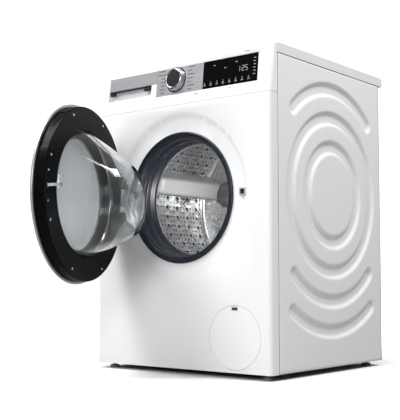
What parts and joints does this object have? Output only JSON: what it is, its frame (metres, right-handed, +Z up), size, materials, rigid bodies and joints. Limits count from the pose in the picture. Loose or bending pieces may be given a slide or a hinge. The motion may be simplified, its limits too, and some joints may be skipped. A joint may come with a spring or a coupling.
{
  "type": "front load washing machine",
  "caption": "Free-standing front-loading washing machine with an open glass porthole door, detergent drawer, dial, display and a sprung tub with a belt-driven drum.",
  "frame": {"origin": "centre of the cabinet's footprint on the floor, midway between the sides and between the front panel and the worktop's rear edge", "axes": "+X to the right seen from the front, -Y out of the front, +Z up"},
  "size_m": [0.598, 1.032, 0.848],
  "materials": {
    "white_enamel": "gloss",
    "zinc": "satin",
    "white_plastic": "satin",
    "worktop_white": "satin",
    "trim_silver": "brushed",
    "display_black": "gloss",
    "board_green": "satin",
    "housing_plastic": "matte",
    "hose_grey": "matte",
    "pump_plastic": "matte",
    "dark_plastic": "matte",
    "gasket_rubber": "satin",
    "cast_zinc": "satin",
    "steel": "satin",
    "door_black": "gloss",
    "door_trim": "satin",
    "door_pane": "gloss",
    "bowl_glass": "gloss",
    "tub_plastic": "matte",
    "concrete": "matte",
    "motor_alloy": "matte",
    "stainless": "brushed",
    "paddle_grey": "matte",
    "belt_rubber": "matte",
    "rotor_steel": "satin",
    "chrome": "polished",
    "filter_plastic": "matte",
    "foot_rubber": "matte"
  },
  "bodies": {
    "cabinet": {"base_tray": "zinc", "side_panel_left": "white_enamel", "side_panel_right": "white_enamel", "rear_panel": "zinc", "rear_cover": "zinc", "front_panel": "white_enamel", "worktop": "worktop_white", "top_braces": "zinc", "control_fascia": "white_plastic", "dial_panel": "trim_silver", "display_window": "display_black", "control_board": "board_green", "dispenser_housing": "housing_plastic", "inlet_valve": "housing_plastic", "water_hoses": "hose_grey", "drain_pump": "pump_plastic", "sump_hose": "gasket_rubber", "drain_hose": "hose_grey", "drain_outlet": "dark_plastic", "mains_gland": "dark_plastic", "door_lock": "dark_plastic", "lock_bezel": "dark_plastic", "door_gasket": "gasket_rubber", "hinge_bracket": "cast_zinc", "hinge_pin": "steel", "flap_frame": "dark_plastic", "transit_caps": "white_plastic", "foot_locknuts": "steel", "damper_cylinders": "dark_plastic"},
    "flap": {"service_flap": "white_plastic"},
    "filter": {"pump_filter": "filter_plastic"},
    "foot_fl": {"foot_front_left": "foot_rubber"},
    "foot_fr": {"foot_front_right": "foot_rubber"},
    "foot_rl": {"foot_rear_left": "foot_rubber"},
    "foot_rr": {"foot_rear_right": "foot_rubber"},
    "door": {"door_trim_ring": "door_trim", "door_window": "door_pane", "door_inner_ring": "door_black", "door_glass_bowl": "bowl_glass", "door_hinge_leaf": "cast_zinc", "door_screws": "steel"},
    "latch": {"door_latch_hook": "chrome"},
    "drawer": {"drawer_front": "white_plastic", "drawer_grip_plate": "trim_silver", "drawer_tray": "white_plastic"},
    "dial": {"dial_ring": "chrome"},
    "tub": {"tub_front": "tub_plastic", "tub_rear": "tub_plastic", "front_counterweights": "concrete", "heater": "steel", "drum_bearings": "steel", "motor_stator": "motor_alloy", "damper_rods": "steel", "hanger_springs": "steel", "drive_belt": "belt_rubber"},
    "drum": {"drum_shell": "stainless", "drum_paddles": "paddle_grey", "drum_spider": "motor_alloy", "drum_pulley": "motor_alloy"},
    "motor": {"motor_rotor": "rotor_steel"}
  },
  "joints": [
    {"name": "door_hinge", "type": "hinge", "parent": "cabinet", "child": "door", "pos_m": [-0.214, -0.3119, 0.468], "axis": [0, 0, -1], "range_deg": [-70.5, 54.5]},
    {"name": "latch_pivot", "type": "hinge", "parent": "door", "child": "latch", "pos_m": [-0.06663, -0.70739, 0.472], "axis": [0, 0, 1], "range_deg": [0, 4], "stiffness_Nm_per_rad": 3, "springref_deg": -5.73},
    {"name": "drawer_slide", "type": "slide", "parent": "cabinet", "child": "drawer", "axis": [0, -1, 0], "range_m": [0, 0.19]},
    {"name": "dial_turn", "type": "hinge", "parent": "cabinet", "child": "dial", "pos_m": [-0.0142, -0.28789, 0.78964], "axis": [0, -0.995, 0.1002], "continuous": true},
    {"name": "flap_pull", "type": "slide", "parent": "cabinet", "child": "flap", "axis": [0, -1, 0], "range_m": [0, 0.04]},
    {"name": "filter_turn", "type": "hinge", "parent": "cabinet", "child": "filter", "pos_m": [0.1876, -0.262, 0.08], "axis": [0, 1, 0], "range_deg": [0, 270]},
    {"name": "tub_suspension", "type": "slide", "parent": "cabinet", "child": "tub", "axis": [0, 0, 1], "range_m": [-0.008, 0.008], "stiffness_N_per_m": 14000, "springref_m": 0.02074, "deforming": ["hanger_springs", "door_gasket", "water_hoses", "sump_hose"]},
    {"name": "drum_spin", "type": "hinge", "parent": "tub", "child": "drum", "pos_m": [0, 0, 0.468], "axis": [0, 1, 0], "continuous": true},
    {"name": "motor_spin", "type": "hinge", "parent": "tub", "child": "motor", "pos_m": [0, 0, 0.12], "axis": [0, 1, 0], "continuous": true},
    {"name": "foot_fl_screw", "type": "slide", "parent": "cabinet", "child": "foot_fl", "axis": [0, 0, -1], "range_m": [0, 0.012]},
    {"name": "foot_fr_screw", "type": "slide", "parent": "cabinet", "child": "foot_fr", "axis": [0, 0, -1], "range_m": [0, 0.012]},
    {"name": "foot_rl_screw", "type": "slide", "parent": "cabinet", "child": "foot_rl", "axis": [0, 0, -1], "range_m": [0, 0.012]},
    {"name": "foot_rr_screw", "type": "slide", "parent": "cabinet", "child": "foot_rr", "axis": [0, 0, -1], "range_m": [0, 0.012]}
  ],
  "couplings": [
    {"joint": "motor_spin", "follows": "drum_spin", "ratio": 9.8591}
  ]
}
